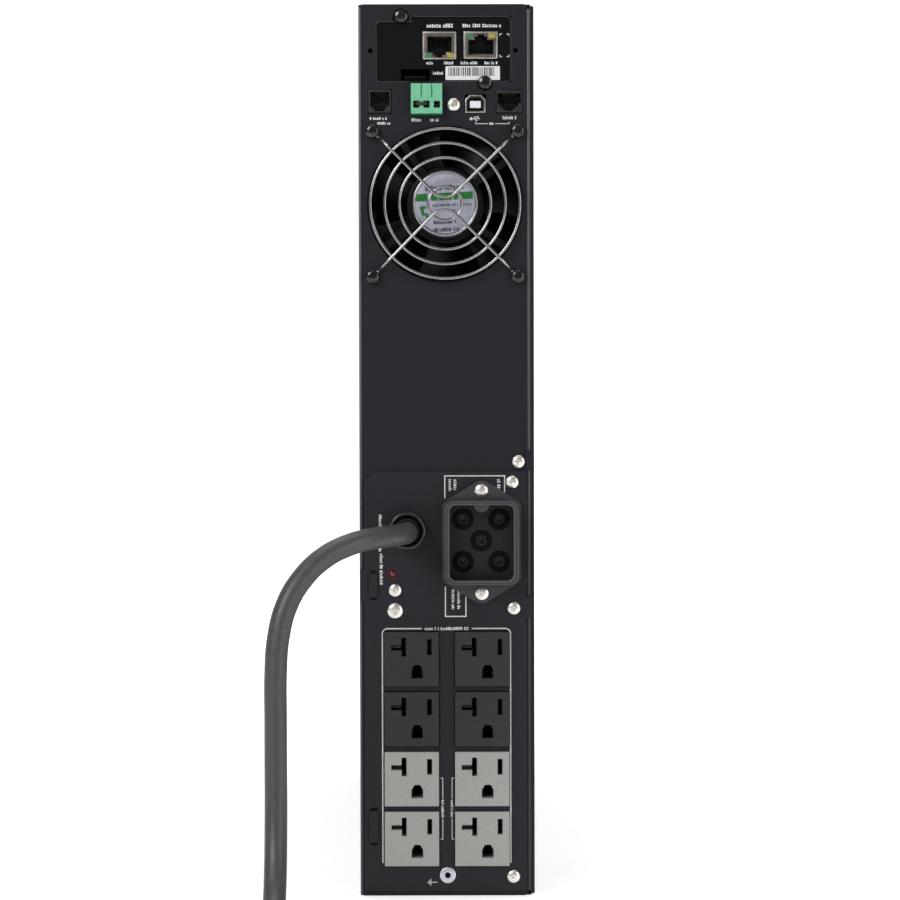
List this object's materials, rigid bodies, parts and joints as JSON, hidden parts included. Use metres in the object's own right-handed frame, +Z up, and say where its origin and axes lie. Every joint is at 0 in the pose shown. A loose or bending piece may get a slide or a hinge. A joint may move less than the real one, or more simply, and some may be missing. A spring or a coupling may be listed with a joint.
{
  "type": "rackmount ups",
  "caption": "Slim uninterruptible power supply standing as a tower, with rear outlets, fan, network card, attached cord, sliding battery tray and tilting display.",
  "frame": {"origin": "centre of the base, on the surface that the unit stands on", "axes": "+Z up along the unit's 440 mm side, +Y from the rear panel to the front bezel, +X to the right as seen from the rear, towards the rack lid"},
  "size_m": [0.1345, 0.9404, 0.44],
  "materials": {
    "black_steel": "fine-textured matt black powder coat",
    "card_steel": "smooth matt black paint",
    "black_plastic": "fine-textured matt black moulding",
    "outlet_black": "matt black moulding",
    "outlet_grey": "matt warm grey moulding",
    "button_grey": "matt grey moulding",
    "guard_chrome": "bright chrome-plated wire",
    "screw_nickel": "bright nickel plate",
    "screw_black": "black zinc plate",
    "jack_shield": "tin-plated brass shell",
    "terminal_green": "light green moulding",
    "circuit_board": "green solder mask",
    "tray_steel": "bare zinc-plated steel",
    "sink_aluminium": "extruded aluminium",
    "transformer_core": "varnished laminations and windings",
    "battery_case": "dark grey battery case",
    "led_red": "clear red lens, unlit",
    "display_lens": "dark display window",
    "cord_rubber": "matt black cord jacket"
  },
  "bodies": {
    "chassis": {"chassis_shell": "black_steel", "top_cover": "black_steel", "rear_panel": "black_steel", "outlet_panel": "black_steel", "front_frame": "black_steel", "fan_frame": "black_plastic", "fan_guard": "guard_chrome", "fan_screw_1": "screw_black", "fan_screw_2": "screw_black", "fan_screw_3": "screw_black", "fan_screw_4": "screw_black", "panel_screw_1": "screw_nickel", "panel_screw_2": "screw_nickel", "panel_screw_3": "screw_nickel", "panel_screw_4": "screw_nickel", "panel_screw_5": "screw_nickel", "panel_screw_6": "screw_nickel", "panel_screw_7": "screw_nickel", "outlet_1": "outlet_black", "outlet_2": "outlet_black", "outlet_3": "outlet_black", "outlet_4": "outlet_black", "outlet_5": "outlet_grey", "outlet_6": "outlet_grey", "outlet_7": "outlet_grey", "outlet_8": "outlet_grey", "battery_connector": "black_plastic", "cord_gland": "black_plastic", "fault_led": "led_red", "ground_post": "screw_nickel", "battery_signal_jack": "black_plastic", "serial_port": "black_plastic", "usb_port": "jack_shield", "terminal_header": "terminal_green", "power_board": "circuit_board", "heat_sink": "sink_aluminium", "transformer": "transformer_core", "front_bezel": "black_plastic", "power_cord": "cord_rubber", "cord_coil": "cord_rubber", "power_plug": "black_plastic"},
    "fan_rotor": {"fan_rotor": "black_plastic"},
    "terminal_plug": {"terminal_plug": "terminal_green"},
    "network_card": {"card_plate": "card_steel", "card_board": "circuit_board", "ethernet_jack": "jack_shield", "sensor_jack": "jack_shield", "card_screw_1": "screw_black", "card_screw_2": "screw_black"},
    "battery_tray": {"battery_tray": "tray_steel", "battery_pair_1": "battery_case", "battery_pair_2": "battery_case"},
    "battery_cover": {"battery_cover": "black_plastic"},
    "display": {"display_housing": "black_plastic", "display_glass": "display_lens"},
    "menu_button_1": {"menu_button_1": "button_grey"},
    "menu_button_2": {"menu_button_2": "button_grey"},
    "menu_button_3": {"menu_button_3": "button_grey"},
    "menu_button_4": {"menu_button_4": "button_grey"},
    "power_button": {"power_button": "button_grey"}
  },
  "joints": [
    {"name": "fan_spin", "type": "hinge", "parent": "chassis", "child": "fan_rotor", "pos_m": [-0.0005, -0.2028, 0.3418], "axis": [0, 1, 0], "continuous": true},
    {"name": "terminal_plug_pull", "type": "slide", "parent": "chassis", "child": "terminal_plug", "axis": [0, -1, 0], "range_m": [0, 0.03]},
    {"name": "network_card_slide", "type": "slide", "parent": "chassis", "child": "network_card", "axis": [0, -1, 0], "range_m": [0, 0.12]},
    {"name": "battery_tray_slide", "type": "slide", "parent": "chassis", "child": "battery_tray", "axis": [0, 1, 0], "range_m": [0, 0.29]},
    {"name": "battery_cover_pull", "type": "slide", "parent": "battery_tray", "child": "battery_cover", "axis": [0, 1, 0], "range_m": [0, 0.03]},
    {"name": "display_tilt", "type": "hinge", "parent": "chassis", "child": "display", "pos_m": [0.0254, 0.2296, 0.332], "axis": [0, 0, -1], "range_deg": [0, 45]},
    {"name": "menu_button_1_press", "type": "slide", "parent": "display", "child": "menu_button_1", "axis": [0, -1, 0], "range_m": [0, 0.001], "stiffness_N_per_m": 400},
    {"name": "menu_button_2_press", "type": "slide", "parent": "display", "child": "menu_button_2", "axis": [0, -1, 0], "range_m": [0, 0.001], "stiffness_N_per_m": 400},
    {"name": "menu_button_3_press", "type": "slide", "parent": "display", "child": "menu_button_3", "axis": [0, -1, 0], "range_m": [0, 0.001], "stiffness_N_per_m": 400},
    {"name": "menu_button_4_press", "type": "slide", "parent": "display", "child": "menu_button_4", "axis": [0, -1, 0], "range_m": [0, 0.001], "stiffness_N_per_m": 400},
    {"name": "power_button_press", "type": "slide", "parent": "display", "child": "power_button", "axis": [0, -1, 0], "range_m": [0, 0.001], "stiffness_N_per_m": 400}
  ]
}
